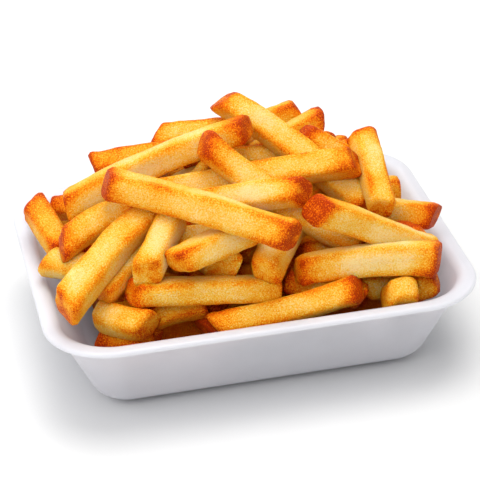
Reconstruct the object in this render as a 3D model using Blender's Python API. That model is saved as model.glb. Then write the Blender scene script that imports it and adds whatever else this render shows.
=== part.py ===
"""French fries heaped in a white takeaway tray.

The tray is a rounded rectangle with sloping walls, a flat foot and a lip all round.
The fries are thick-cut bars laid criss-cross in a heap well above the lip.
Each named fry is laid by its two ends, read off the photo at the camera's angle.
Loose fries follow a seeded rule, for the back and the sides that the photo hides.
One rule then moves all of them apart until they rest on each other.
Lengths in the tables are millimetres, and meshes are made in metres.
+Z is up, +X is to the right along the tray's long side, and -Y is the photo's front.
"""

import math
import random

import bmesh
import bpy
import numpy as np
from mathutils import Vector

MM = 0.001

# The tray's driving sizes, in mm.
TRAY_LENGTH = 180.0
TRAY_WIDTH = 140.0
TRAY_HEIGHT = 42.0
RIM_CORNER = 27.0
CORNER_TIGHTENING = 0.7
WALL = 2.5
LIP_THICKNESS = 2.6
LIP_REACH = 5.0
FOOT_INSET = 22.5
FOOT_FILLET = 16.0
CORNER_STEPS = 8
WALL_SLOPE = (FOOT_INSET - LIP_REACH) / (TRAY_HEIGHT - LIP_THICKNESS)
FOOT_MIDDLE = 40.0
UNDER_LIP_ROUND = 1.2
LIP_ROUND = LIP_THICKNESS * 0.49
INNER_LIP_ROUND = 5.0

# The fries' driving sizes, in mm. WORN_EDGE and BLUNT_END are shares of the thickness.
WORN_EDGE = 0.19
END_TAPER = 4.0
BLUNT_END = 0.74
CLEARANCE = 0.35
SLIVER = 0.005

# The mound that the loose fries follow, and the core that stands for the hidden ones.
# CORE_SIDE gives levels and how far in from the tray's wall the core is there.
MOUND_EDGE = 44.0
MOUND_RISE = 38.0
MOUND_REACH = (86.0, 66.0)
MOUND_BACK = 2.0
MOUND_POWER = (2.0, 2.4)
CORE_DEPTH = 27.0
CORE_CORNER_STEPS = 3
CORE_SHRINK = (0.86, 0.68, 0.46, 0.22)
CORE_SIDE = ((3.0, 10.0), (9.0, 7.0), (14.0, 11.0), (20.0, 18.0))

# The loose fries at the hidden back and sides. LOOSE_SWING is in radians and LOOSE_ROLL
# in degrees.
LOOSE_FRIES = 24
LOOSE_SPREAD = (76.0, 56.0)
LOOSE_OUT = (0.55, 0.75, 0.95)
LOOSE_SWING = 0.8
LOOSE_ROLL = 40.0
LOOSE_FRONT = -10.0
LOOSE_LAYERS = (3.0, 12.0)
GOLDEN_STEP = 0.618
LOOSE_REACH = (69.0, 54.0)
LOOSE_LENGTH = (48.0, 72.0)
LOOSE_THICKNESS = (10.5, 12.0)
SEED = 4

# How the heap settles. Fries end SNUG times their two half-thicknesses apart.
SNUG = 0.9
SETTLE_PASSES = 220
LOOSE_EASE = 5.0
SIDE_SHARE = 0.3
PULL_HOME_IN_SIGHT = 0.03
PULL_HOME_SIDEWAYS = 0.1
SINK_PER_PASS = 0.15
CORNER_ROOM = 1.2
FLOOR_ROOM = 3.0
ROOF_ROOM = 1.0
CORE_REST = 0.6
CORE_PUSH = 0.3
CORE_PUSH_LIMIT = 3.0
CORE_SPOTS = (0.1, 0.5, 0.9)
WALL_SPOTS = (0.0, 0.25, 0.5, 0.75, 1.0)

# The level direction and the height at which the shown fries turn a flat side outwards.
FACING = np.array((-0.18, -0.84, 0.51))

# End A, end B, thickness, turn about its length in degrees, and bow upwards in mm.
SHOWN_FRIES = {
    "crossing_front_top": ((-54, 0, 77), (12, -48, 69), 12.5, -18, 1.5),
    "long_left_ridge": ((-70, 15, 61), (8, 8, 91), 12.5, -20, 1.5),
    "bent_from_peak": ((-14, 0, 91), (45, -36, 52), 12.0, 15, -2.5),
    "behind_bent_one": ((50, -4, 75), (-36, -6, 74), 12.5, -15, 1.5),
    "short_top_middle": ((23, -29, 79), (-24, -19, 74), 12.0, -16, 1.0),
    "peak": ((2, 33, 93), (53, -15, 60), 12.5, 20, 1.5),
    "steep_right": ((58, 19, 76), (55, -25, 62), 12.0, 25, 1.5),
    "peak_right_front": ((46, 36, 76), (12, 17, 73), 11.0, 20, 0.0),
    "peak_right_back": ((38, 42, 79), (-4, 26, 76), 11.0, 20, 0.0),
    "right_of_peak": ((30, 12, 83), (58, 4, 65), 11.0, 15, 0.0),
    "behind_steep_right": ((57, 34, 65), (26, 19, 63), 10.5, 20, 0.0),
    "back_left_tip": ((-55, 40, 66), (-20, 18, 78), 12.0, 20, 0.0),
    "left_of_peak": ((-29, 35, 76), (8, 28, 80), 12.0, 25, 0.0),
    "left_of_peak_back": ((-18, 42, 72), (0, 36, 76), 10.5, 25, 0.0),
    "left_end": ((-82, 31, 56), (-75, -2, 51), 11.5, 25, 1.0),
    "left_low": ((-76, -9, 56), (-44, -5, 69), 12.0, 15, 1.0),
    "front_left_long": ((-82, -48, 50), (-39, -16, 71), 13.5, 22, 1.0),
    "far_left_end": ((-84, -3, 49), (-52, -26, 44), 12.0, 20, 1.0),
    "upright_front_left": ((-46, -44, 59), (-29, -18, 71), 12.5, 20, 0.0),
    "middle_front_short": ((-36, -43, 63), (0, -30, 66), 13.0, -20, 0.0),
    "pale_peaked_end": ((-14, -36, 54), (-19, -12, 38), 12.0, 30, 0.0),
    "square_end": ((-1, -52, 56), (21, -22, 65), 13.0, 30, 0.0),
    "front_long": ((-53, -40, 50), (7, -41, 41), 12.0, -15, 0.5),
    "front_left_under": ((-57, -30, 43), (-40, -10, 45), 12.0, 15, 0.0),
    "front_bowed": ((39, -55, 44), (-22, -56, 37), 12.5, -15, -1.5),
    "right_front_long": ((15, -39, 48), (74, -46, 49), 12.5, -15, 1.5),
    "front_left_corner": ((-67, -39, 42), (-46, -51, 39), 13.5, 20, 0.0),
    "front_low_left": ((-47, -46, 36), (-23, -45, 34), 11.5, 15, 0.0),
    "right_slope_long": ((22, -40, 77), (74, -34, 45), 12.0, -15, 1.0),
    "right_end_high": ((83, -18, 52), (44, -10, 60), 13.0, 15, 0.0),
    "far_right_tip": ((74, 7, 55), (44, 8, 59), 10.5, 20, 0.0),
    "behind_right_tip": ((62, 17, 62), (50, -14, 50), 10.5, 20, 0.0),
    "pointed_right": ((64, -29, 56), (79, -33, 42), 11.5, 20, 0.0),
    "right_end_low": ((74, -43, 39), (44, -46, 37), 12.0, 20, 0.0),
    "right_front_corner": ((74, -50, 42), (56, -49, 38), 12.0, 20, 0.0),
    "under_right_front": ((34, -40, 36), (70, -36, 36), 11.0, 20, 0.0),
    "arched_front_right": ((48, -54, 37), (62, -54, 36), 11.5, 20, 2.0),
    "under_bowed_one": ((42, -49, 36), (13, -34, 30), 11.0, 20, 0.0),
    "in_the_top_gap": ((-10, 8, 80), (32, 10, 74), 11.5, 15, 0.0),
    "left_back_tip": ((-75, 32, 53), (-44, 8, 63), 11.5, 20, 0.0),
    "under_left_ridge": ((-62, 12, 58), (-34, -14, 64), 11.0, 20, 0.0),
    "under_crossing_one": ((-36, -26, 62), (6, -28, 64), 11.5, 20, 0.0),
    "front_gap_low": ((-6, -24, 48), (8, -9, 46), 11.5, 20, 0.0),
    "right_gap_low": ((19, -30, 47), (42, -25, 44), 11.5, 20, 0.0),
    "left_gap_low": ((-64, -34, 45), (-40, -14, 56), 11.5, 20, 0.0),
    "lowest_front_left": ((-67, -44, 33), (-48, -49, 32), 11.0, 20, 0.0),
}


# The heap's layout
def reach_inside(z):
    """How far in from the rim's outline the inner wall is, at a height in mm."""
    level = np.clip(z, 0.0, TRAY_HEIGHT)
    return FOOT_INSET - WALL_SLOPE * level + WALL * math.hypot(1.0, WALL_SLOPE) + CLEARANCE


def mound(x, y):
    """Height of the middles of the outermost loose fries over the tray."""
    off_x = np.abs(x) / MOUND_REACH[0]
    off_y = np.abs(y - MOUND_BACK) / MOUND_REACH[1]
    along = np.clip(1.0 - off_x ** MOUND_POWER[0], 0.0, 1.0)
    across = np.clip(1.0 - off_y ** MOUND_POWER[1], 0.0, 1.0)
    return MOUND_EDGE + MOUND_RISE * along * across


def core_height(x, y):
    return mound(x, y) - CORE_DEPTH


def loose_fries():
    """Fries for the hidden back and sides, round the mound from one end to the other."""
    draw = random.Random(SEED)
    laid = []
    for number in range(LOOSE_FRIES):
        turn = math.pi * (number * GOLDEN_STEP % 1.0)
        out = LOOSE_OUT[number % len(LOOSE_OUT)]
        x = LOOSE_SPREAD[0] * out * math.cos(turn)
        y = LOOSE_SPREAD[1] * out * math.sin(turn)
        heading = turn + math.pi / 2 + draw.uniform(-LOOSE_SWING, LOOSE_SWING)
        length = draw.uniform(*LOOSE_LENGTH)
        thickness = draw.uniform(*LOOSE_THICKNESS)
        dx = math.cos(heading) * length / 2
        dy = math.sin(heading) * length / 2
        ends = []
        for side in (-1, 1):
            px = min(max(x + side * dx, -LOOSE_REACH[0]), LOOSE_REACH[0])
            py = min(max(y + side * dy, LOOSE_FRONT), LOOSE_REACH[1])
            ends.append((px, py, mound(px, py) - LOOSE_LAYERS[number % 2]))
        roll = draw.uniform(-LOOSE_ROLL, LOOSE_ROLL)
        laid.append((ends[0], ends[1], thickness, roll, 0.0))
    return laid


def nearest_along(a1, b1, a2, b2):
    """Where two sets of middle lines pass closest, as a share of each line."""
    d1 = b1 - a1
    d2 = b2 - a2
    gap = a1 - a2
    one = (d1 * d1).sum(-1)
    two = (d2 * d2).sum(-1)
    both = (d1 * d2).sum(-1)
    first = (d1 * gap).sum(-1)
    second = (d2 * gap).sum(-1)
    spread = one * two - both * both
    crossing = np.clip((both * second - first * two) / np.maximum(spread, 1e-6), 0.0, 1.0)
    on_first = np.where(spread > 1e-6, crossing, 0.5)
    on_second = np.clip((both * on_first + second) / two, 0.0, 1.0)
    on_first = np.clip((both * on_second - first) / one, 0.0, 1.0)
    return on_first, on_second


def keep_inside(end, half):
    """Moves what would cross the tray in from its wall, or up onto its lip if nearer.
    Nothing reaches out past the rim."""
    round_it = half * CORNER_ROOM
    for side, size in ((0, TRAY_LENGTH), (1, TRAY_WIDTH)):
        limit = size / 2 - round_it
        end[:, side] = np.clip(end[:, side], -limit, limit)
    reach = reach_inside(end[:, 2]) + round_it * math.hypot(1.0, WALL_SLOPE)
    side_x = TRAY_LENGTH / 2 - reach
    side_y = TRAY_WIDTH / 2 - reach
    corner = np.maximum(RIM_CORNER - reach, 1.0)
    past_x = np.abs(end[:, 0]) - (side_x - corner)
    past_y = np.abs(end[:, 1]) - (side_y - corner)
    past = np.hypot(np.maximum(past_x, 0.0), np.maximum(past_y, 0.0))
    over = np.maximum(past - corner, 0.0)
    lift = TRAY_HEIGHT + round_it + CLEARANCE - end[:, 2]
    onto_lip = (over > 0.0) & (lift > 0.0) & (lift < over)
    inwards = (over > 0.0) & (lift > 0.0) & ~onto_lip
    end[:, 2] += np.where(onto_lip, lift, 0.0)
    pull = np.where(inwards, 1.0 - over / np.maximum(past, 1e-6), 1.0)
    in_x = side_x - corner + past_x * pull
    in_y = side_y - corner + past_y * pull
    in_x = np.where(past_x > 0.0, in_x, np.abs(end[:, 0]))
    in_y = np.where(past_y > 0.0, in_y, np.abs(end[:, 1]))
    end[:, 0] = np.where(inwards, np.copysign(in_x, end[:, 0]), end[:, 0])
    end[:, 1] = np.where(inwards, np.copysign(in_y, end[:, 1]), end[:, 1])
    end[:, 2] = np.maximum(end[:, 2], WALL + round_it + FLOOR_ROOM)


def settle(fries, shown_count):
    """Pushes crossing fries apart until they touch. The shown ones keep their outlines,
    as they move mainly towards the photo's camera or away from it."""
    a = np.array([fry[0] for fry in fries], float)
    b = np.array([fry[1] for fry in fries], float)
    half = np.array([fry[2] for fry in fries]) / 2
    bow = np.array([fry[4] for fry in fries])
    shown = np.arange(len(fries)) < shown_count
    sight = FACING / np.linalg.norm(FACING)
    ease = np.where(shown, 1.0, LOOSE_EASE)
    home = (a.copy(), b.copy())
    length = np.linalg.norm(b - a, axis=1)
    i, j = np.triu_indices(len(fries), 1)
    for _ in range(SETTLE_PASSES):
        on_i, on_j = nearest_along(a[i], b[i], a[j], b[j])
        p = a[i] + (b[i] - a[i]) * on_i[:, None]
        q = a[j] + (b[j] - a[j]) * on_j[:, None]
        apart = np.linalg.norm(p - q, axis=1) + 1e-9
        need = (half[i] + half[j]) * SNUG
        near = apart < need
        push = (p - q)[near] * ((need - apart) * 0.5 / apart)[near][:, None]
        share_i = (ease[i] / (ease[i] + ease[j]))[near]
        moves = (np.zeros_like(a), np.zeros_like(b))
        sides = ((i[near], on_i[near], share_i), (j[near], on_j[near], share_i - 1.0))
        for which, share, part in sides:
            weight = share**2 + (1 - share) ** 2
            np.add.at(moves[0], which, push * (part * (1 - share) / weight)[:, None])
            np.add.at(moves[1], which, push * (part * share / weight)[:, None])
        for end, move, start in zip((a, b), moves, home):
            along = (move @ sight)[:, None] * sight
            move[shown] = (along + (move - along) * SIDE_SHARE)[shown]
            back = start - end
            back_along = (back @ sight)[:, None] * sight
            pull = back_along * PULL_HOME_IN_SIGHT + (back - back_along) * PULL_HOME_SIDEWAYS
            move[shown] += pull[shown]
            move[~shown, 2] -= SINK_PER_PASS
            end += move
        for share in CORE_SPOTS:
            spot = a * (1 - share) + b * share
            rest = core_height(spot[:, 0], spot[:, 1]) + half * CORE_REST
            under = np.clip(rest - spot[:, 2], 0.0, CORE_PUSH_LIMIT)
            lift = under * CORE_PUSH / (share**2 + (1 - share) ** 2)
            a[:, 2] += lift * (1 - share)
            b[:, 2] += lift * share
        for end in (a, b):
            keep_inside(end, half)
            roof = np.where(shown, np.inf, mound(end[:, 0], end[:, 1]) + ROOF_ROOM)
            end[:, 2] = np.minimum(end[:, 2], roof)
            end[~shown, 0] = np.clip(end[~shown, 0], -LOOSE_REACH[0], LOOSE_REACH[0])
            end[~shown, 1] = np.minimum(end[~shown, 1], LOOSE_REACH[1])
        middle = (a + b) / 2
        line = b - a
        stretch = length / np.linalg.norm(line, axis=1)
        a = middle - line * stretch[:, None] / 2
        b = middle + line * stretch[:, None] / 2
    for share in WALL_SPOTS:
        spot = a * (1 - share) + b * share
        spot[:, 2] += bow * (1 - (2 * share - 1) ** 2)
        kept = spot.copy()
        keep_inside(kept, half)
        a += kept - spot
        b += kept - spot
    return np.round(a, 1), np.round(b, 1)


# Mesh helpers
def node_from(mesh_edit, name, colour, roughness):
    """Turns a bmesh's faces outwards and keeps it as an object with its own material."""
    bmesh.ops.recalc_face_normals(mesh_edit, faces=mesh_edit.faces)
    if mesh_edit.calc_volume(signed=True) < 0.0:
        bmesh.ops.reverse_faces(mesh_edit, faces=mesh_edit.faces)
    mesh = bpy.data.meshes.new(name)
    mesh_edit.to_mesh(mesh)
    mesh_edit.free()
    node = bpy.data.objects.new(name, mesh)
    bpy.context.scene.collection.objects.link(node)
    material = bpy.data.materials.new(name)
    material.use_nodes = True
    surface = material.node_tree.nodes["Principled BSDF"]
    surface.inputs["Base Color"].default_value = (*colour, 1.0)
    surface.inputs["Roughness"].default_value = roughness
    mesh.materials.append(material)
    return node


def skin(mesh_edit, rings):
    """Draws the first ring's edge out through the other rings, and fills both ends."""
    loop = [mesh_edit.verts.new(point) for point in rings[0]]
    mesh_edit.faces.new(loop)
    for ring in rings[1:]:
        edges = [mesh_edit.edges.get((loop[k - 1], loop[k])) for k in range(len(loop))]
        drawn = set(bmesh.ops.extrude_edge_only(mesh_edit, edges=edges)["geom"])
        after = []
        for vert in loop:
            beside = [edge.other_vert(vert) for edge in vert.link_edges]
            after += [other for other in beside if other in drawn]
        loop = after
        for vert, point in zip(loop, ring):
            vert.co = point
    mesh_edit.faces.new(loop)


def outline(inset, z, steps=CORNER_STEPS):
    """The tray's rounded rectangle at one height, in metres."""
    side_x = TRAY_LENGTH / 2 - inset
    side_y = TRAY_WIDTH / 2 - inset
    radius = max(RIM_CORNER - inset * CORNER_TIGHTENING, 2.0)
    ring = []
    for quarter in range(4):
        cx = (side_x - radius) * (1, -1, -1, 1)[quarter]
        cy = (side_y - radius) * (1, 1, -1, -1)[quarter]
        for k in range(steps + 1):
            angle = math.pi / 2 * (quarter + k / steps)
            x = cx + radius * math.cos(angle)
            y = cy + radius * math.sin(angle)
            ring.append((x * MM, y * MM, z * MM))
    return ring


def rounded(path):
    """Rounds the corners of an open path of (inset, z, radius, steps)."""
    found = [(path[0][0], path[0][1])]
    for before, here, after in zip(path, path[1:], path[2:]):
        corner = np.array(here[:2])
        back = np.array(before[:2]) - corner
        ahead = np.array(after[:2]) - corner
        back /= np.linalg.norm(back)
        ahead /= np.linalg.norm(ahead)
        opening = math.acos(float(np.clip(back @ ahead, -1.0, 1.0)))
        tangent = here[2] / math.tan(opening / 2)
        centre = corner + (back + ahead) * (here[2] / math.sin(opening))
        start = corner + back * tangent - centre
        end = corner + ahead * tangent - centre
        sweep = math.pi - opening
        for k in range(here[3] + 1):
            share = k / here[3]
            one = math.sin(sweep * (1 - share)) / math.sin(sweep)
            two = math.sin(sweep * share) / math.sin(sweep)
            found.append(tuple(centre + start * one + end * two))
    found.append((path[-1][0], path[-1][1]))
    return found


def build_tray():
    """One skin from the middle of the foot, out and over the lip, and back to the floor."""
    under_lip = TRAY_HEIGHT - LIP_THICKNESS
    inner_foot = FOOT_INSET + WALL * math.hypot(1.0, WALL_SLOPE)
    inner_lip = inner_foot - TRAY_HEIGHT * WALL_SLOPE
    inner_floor = inner_foot - WALL * WALL_SLOPE
    path = (
        (FOOT_MIDDLE, 0.0, 0, 0),
        (FOOT_INSET, 0.0, FOOT_FILLET, 6),
        (LIP_REACH, under_lip, UNDER_LIP_ROUND, 2),
        (0.0, under_lip, LIP_ROUND, 3),
        (0.0, TRAY_HEIGHT, LIP_ROUND, 3),
        (inner_lip, TRAY_HEIGHT, INNER_LIP_ROUND, 4),
        (inner_floor, WALL, FOOT_FILLET - WALL, 6),
        (FOOT_MIDDLE, WALL, 0, 0),
    )
    mesh_edit = bmesh.new()
    skin(mesh_edit, [outline(inset, z) for inset, z in rounded(path)])
    return node_from(mesh_edit, "tray", (0.86, 0.86, 0.88), 0.55)


def fry_frame(a, b, turn):
    """The fry's own axes: along it, across it, and up out of its flat side."""
    axis = (b - a) / np.linalg.norm(b - a)
    face = FACING - axis * (FACING @ axis)
    face /= np.linalg.norm(face)
    side = np.cross(face, axis)
    angle = math.radians(turn)
    up = face * math.cos(angle) + side * math.sin(angle)
    return axis, np.cross(up, axis), up


def add_fry(name, a, b, thickness, turn, bow, home):
    """A thick-cut fry: a bar with worn long edges and narrower, blunt ends."""
    length = float(np.linalg.norm(b - a))
    mesh_edit = bmesh.new()
    bmesh.ops.create_cube(mesh_edit, size=1.0)
    bmesh.ops.scale(mesh_edit, vec=(length, thickness, thickness), verts=mesh_edit.verts)
    edges = [edge for edge in mesh_edit.edges if edge.calc_length() > length - 0.01]
    worn = thickness * WORN_EDGE
    bmesh.ops.bevel(
        mesh_edit, geom=edges, offset=worn, segments=1, profile=0.5, affect="EDGES"
    )
    for cut in (-0.5 + END_TAPER / length, 0.0, 0.5 - END_TAPER / length):
        if cut == 0.0 and bow == 0.0:
            continue
        every = mesh_edit.verts[:] + mesh_edit.edges[:] + mesh_edit.faces[:]
        spot = (cut * length, 0.0, 0.0)
        bmesh.ops.bisect_plane(mesh_edit, geom=every, plane_co=spot, plane_no=(1, 0, 0))
    axis, across, up = fry_frame(a, b, turn)
    middle = (a + b) / 2
    for vert in mesh_edit.verts:
        along, over, out = vert.co
        at_end = abs(along) > length / 2 - 0.01
        width = BLUNT_END if at_end else 1.0
        lift = bow * (1.0 - (2.0 * along / length) ** 2)
        spot = middle + axis * along + (across * over + up * out) * width
        vert.co = Vector(spot + np.array((0.0, 0.0, lift))) * MM
    bmesh.ops.triangulate(mesh_edit, faces=mesh_edit.faces)
    bmesh.ops.recalc_face_normals(mesh_edit, faces=mesh_edit.faces)
    mesh = bpy.data.meshes.new(name)
    mesh_edit.to_mesh(mesh)
    mesh_edit.free()
    home.objects.link(bpy.data.objects.new(name, mesh))


def core_rings():
    """The mound under the fries, from the tray's floor up, as one closed skin."""
    rings = []
    for level, off in CORE_SIDE:
        rings.append(outline(float(reach_inside(level)) + off, level, CORE_CORNER_STEPS))
    top = rings[-1]
    for shrink in CORE_SHRINK:
        ring = []
        for x, y, _ in top:
            height = core_height(x * shrink / MM, y * shrink / MM)
            ring.append((x * shrink, y * shrink, max(height, level + 1.0) * MM))
        rings.append(ring)
    return rings


def largest_island(mesh_edit):
    """Drops every shell except the outer one: loose scraps and sealed hollows."""
    left = set(mesh_edit.verts)
    shells = []
    while left:
        reached = {left.pop()}
        edge_of = list(reached)
        while edge_of:
            vert = edge_of.pop()
            for edge in vert.link_edges:
                other = edge.other_vert(vert)
                if other in left:
                    left.discard(other)
                    reached.add(other)
                    edge_of.append(other)
        shells.append(reached)
    shells.sort(key=len, reverse=True)
    spare = [vert for shell in shells[1:] for vert in shell]
    bmesh.ops.delete(mesh_edit, geom=spare, context="VERTS")
    return len(shells)


def build_fries():
    """All the fries and their core, joined by one Boolean union."""
    fries = list(SHOWN_FRIES.values()) + loose_fries()
    a, b = settle(fries, len(SHOWN_FRIES))
    home = bpy.data.collections.new("fries_to_join")
    bpy.context.scene.collection.children.link(home)
    for number, fry in enumerate(fries):
        add_fry(f"fry_{number}", a[number], b[number], *fry[2:], home)
    mesh_edit = bmesh.new()
    skin(mesh_edit, core_rings())
    bmesh.ops.triangulate(mesh_edit, faces=mesh_edit.faces)
    heap = node_from(mesh_edit, "fries", (0.86, 0.52, 0.13), 0.6)
    join = heap.modifiers.new("join", "BOOLEAN")
    join.operation = "UNION"
    join.operand_type = "COLLECTION"
    join.collection = home
    join.solver = "EXACT"
    join.use_self = False
    graph = bpy.context.evaluated_depsgraph_get()
    joined = bpy.data.meshes.new_from_object(heap.evaluated_get(graph))
    heap.modifiers.remove(join)
    heap.data = joined
    for held in list(home.objects):
        bpy.data.objects.remove(held)
    bpy.data.collections.remove(home)
    mesh_edit = bmesh.new()
    mesh_edit.from_mesh(joined)
    shells = largest_island(mesh_edit)
    bmesh.ops.dissolve_degenerate(mesh_edit, dist=SLIVER * MM, edges=mesh_edit.edges)
    bmesh.ops.triangulate(mesh_edit, faces=mesh_edit.faces)
    print("shells after joining:", shells, "triangles:", len(mesh_edit.faces))
    mesh_edit.to_mesh(joined)
    mesh_edit.free()
    return heap


for thing in list(bpy.data.objects):
    bpy.data.objects.remove(thing)
tray = build_tray()
fries_heap = build_fries()
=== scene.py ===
# %% [markdown]
# # French fries in a takeaway tray
#
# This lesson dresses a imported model: a white foam takeaway tray heaped with thick-cut
# fries. The frame brings the tray and one fused heap, in metres, with +Z up. The heap
# is swapped for separate fries with uneven skins and browned ends. They lie where the
# solid has them, because the same rule lays them here.

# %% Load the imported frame
import math
import random

import bmesh
import bpy
import numpy as np
from mathutils import Matrix, Vector, noise


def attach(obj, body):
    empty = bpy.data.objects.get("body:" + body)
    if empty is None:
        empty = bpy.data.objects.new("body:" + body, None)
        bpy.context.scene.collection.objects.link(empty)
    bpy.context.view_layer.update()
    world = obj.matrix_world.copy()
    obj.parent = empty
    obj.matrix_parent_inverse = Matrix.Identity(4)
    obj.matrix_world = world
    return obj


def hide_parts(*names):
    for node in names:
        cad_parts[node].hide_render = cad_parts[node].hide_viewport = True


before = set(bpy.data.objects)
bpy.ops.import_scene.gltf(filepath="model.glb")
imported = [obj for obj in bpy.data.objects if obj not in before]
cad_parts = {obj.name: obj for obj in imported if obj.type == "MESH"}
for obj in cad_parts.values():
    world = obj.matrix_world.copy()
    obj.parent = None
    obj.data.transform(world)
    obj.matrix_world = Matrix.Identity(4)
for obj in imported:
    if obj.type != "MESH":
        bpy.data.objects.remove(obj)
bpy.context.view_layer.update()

MM = 0.001
print("nodes:", sorted(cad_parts))

# %% [markdown]
# ## The camera
#
# The photo was taken from the front, a little to the left and about 30 degrees above
# the table, with a long lens that keeps the tray's sides nearly parallel. The camera
# is aimed at a point inside the heap and backed away from it, and its focal length
# then sets how much of the square picture the tray fills.

# %% Set the camera
AIM = Vector((5.7, 22.2, 30.0)) * MM
AZIMUTH = math.radians(-12.2)
ELEVATION = math.radians(30.4)
DISTANCE = 871.0 * MM
CAMERA_ROLL = math.radians(-1.7)
FOCAL_LENGTH = 149.5
SENSOR_WIDTH = 36.0


def place_camera():
    """Looks at AIM from the azimuth and elevation of the photo."""
    back = Vector(
        (
            math.sin(AZIMUTH) * math.cos(ELEVATION),
            -math.cos(AZIMUTH) * math.cos(ELEVATION),
            math.sin(ELEVATION),
        )
    )
    lens = bpy.data.cameras.new("photo_camera")
    lens.lens = FOCAL_LENGTH
    lens.sensor_width = SENSOR_WIDTH
    camera = bpy.data.objects.new("photo_camera", lens)
    bpy.context.scene.collection.objects.link(camera)
    look = back.to_track_quat("Z", "Y").to_matrix()
    camera.matrix_world = (
        Matrix.Translation(AIM + back * DISTANCE)
        @ (look @ Matrix.Rotation(CAMERA_ROLL, 3, "Z")).to_4x4()
    )
    bpy.context.scene.camera = camera
    return camera


camera = place_camera()
print("camera at", [round(value, 3) for value in camera.matrix_world.translation])

# %% [markdown]
# ## The floor and the light
#
# A product photo like this one is lit by large soft boxes, so shadows are short and
# pale. The key box hangs over the tray, a second one high in front lights the flat
# sides of the fries, weaker ones stand on the left and behind, and a pale world does
# the rest. The tray's front wall leans down, so mostly the plain pale floor lights it.
# The Standard view transform keeps the crust's strong yellows, which Blender's default
# one, AgX, would wash out.

# %% Lay the floor
FLOOR_SIZE = 6.0
FLOOR_SURFACE = {"Base Color": (0.76, 0.76, 0.76, 1.0), "Roughness": 0.8}


def fill_in(node, values):
    """Sets a node's sockets by their names."""
    for label, value in values.items():
        node.inputs[label].default_value = value


def piece_from(edit, name, material):
    """Ends an edit as a smooth object of one material."""
    mesh = bpy.data.meshes.new(name)
    edit.to_mesh(mesh)
    edit.free()
    mesh.shade_smooth()
    mesh.materials.append(material)
    piece = bpy.data.objects.new(name, mesh)
    bpy.context.scene.collection.objects.link(piece)
    return piece


def floor_material():
    """Matt pale grey, the same all over."""
    material = bpy.data.materials.new("pale_floor")
    material.use_nodes = True
    fill_in(material.node_tree.nodes["Principled BSDF"], FLOOR_SURFACE)
    return material


def lay_floor():
    edit = bmesh.new()
    bmesh.ops.create_grid(edit, x_segments=1, y_segments=1, size=FLOOR_SIZE / 2)
    floor = piece_from(edit, "floor", floor_material())
    return floor


print("floor:", tuple(lay_floor().dimensions), "m")

# %% Hang the lights
# Each soft box has its place and width in metres, its power in watts and its tint.
LIGHTS = {
    "key_softbox": ((0.05, 0.0, 1.10), 0.7, 7.8, (1.0, 0.99, 0.97)),
    "front_softbox": ((-0.45, -0.72, 1.15), 0.9, 5.2, (1.0, 0.99, 0.97)),
    "fill_softbox": ((-0.9, -0.35, 0.6), 0.9, 3.2, (0.97, 0.97, 1.0)),
    "back_softbox": ((-0.1, 0.95, 0.8), 0.7, 3.0, (1.0, 1.0, 1.0)),
}
WORLD_LIGHT = {"Color": (1.0, 1.0, 1.0, 1.0), "Strength": 0.54}


def hang_lights():
    """Square area lights that all face the tray, and an even white world."""
    for name, (place, size, watts, tint) in LIGHTS.items():
        lamp = bpy.data.lights.new(name, "AREA")
        lamp.size = size
        lamp.energy = watts
        lamp.color = tint
        holder = bpy.data.objects.new(name, lamp)
        holder.location = place
        towards = AIM - Vector(place)
        holder.rotation_euler = towards.to_track_quat("-Z", "Y").to_euler()
        bpy.context.scene.collection.objects.link(holder)
    world = bpy.data.worlds.new("studio")
    world.use_nodes = True
    fill_in(world.node_tree.nodes["Background"], WORLD_LIGHT)
    bpy.context.scene.world = world


bpy.context.scene.view_settings.view_transform = "Standard"
hang_lights()
print("lights:", len(LIGHTS), "and the world")

# %% [markdown]
# ## Where each fry lies
#
# A physics simulation could drop the fries into the tray, but it would never land them
# as the photo shows them. So a table gives the two ends of each fry that shows, and a
# rule pushes crossing ones apart until they only touch. The part's source lays its
# solid by the same table and rule, in millimetres, so that each fry here lands inside
# its own bar of the fused heap.

# %% The tray's sizes, in mm
TRAY_LENGTH = 180.0
TRAY_WIDTH = 140.0
TRAY_HEIGHT = 42.0
RIM_CORNER = 27.0
WALL = 2.5
LIP_THICKNESS = 2.6
LIP_REACH = 5.0
FOOT_INSET = 22.5
FOOT_FILLET = 16.0
WALL_SLOPE = (FOOT_INSET - LIP_REACH) / (TRAY_HEIGHT - LIP_THICKNESS)
FOOT_MIDDLE = 40.0
UNDER_LIP_ROUND = 1.2
LIP_ROUND = LIP_THICKNESS * 0.49
INNER_LIP_ROUND = 5.0

# The corners' radius shrinks by this share of an inset, down to the least radius.
CORNER_TIGHTENING = 0.7
LEAST_CORNER = 2.0

# The gap between the fries and the tray.
CLEARANCE = 0.35
print("tray:", TRAY_LENGTH, "x", TRAY_WIDTH, "x", TRAY_HEIGHT, "mm")

# %% The sizes of the heap, in mm
# The mound that the loose fries follow, and the core that stands for the hidden ones.
# CORE_SIDE gives levels and how far in from the tray's wall the core is there.
MOUND_EDGE = 44.0
MOUND_RISE = 38.0
MOUND_REACH = (86.0, 66.0)
MOUND_BACK = 2.0
MOUND_POWER = (2.0, 2.4)
CORE_DEPTH = 27.0
CORE_SHRINK = (0.86, 0.68, 0.46, 0.22)
CORE_SIDE = ((3.0, 10.0), (9.0, 7.0), (14.0, 11.0), (20.0, 18.0))
CORE_LEAST_RISE = 1.0

# The loose fries at the hidden back and sides. LOOSE_SWING is in radians and LOOSE_ROLL
# in degrees.
LOOSE_FRIES = 24
LOOSE_SPREAD = (76.0, 56.0)
LOOSE_OUT = (0.55, 0.75, 0.95)
LOOSE_SWING = 0.8
LOOSE_ROLL = 40.0
LOOSE_FRONT = -10.0
LOOSE_LAYERS = (3.0, 12.0)
GOLDEN_STEP = 0.618
LOOSE_REACH = (69.0, 54.0)
LOOSE_LENGTH = (48.0, 72.0)
LOOSE_THICKNESS = (10.5, 12.0)
SEED = 4

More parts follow.
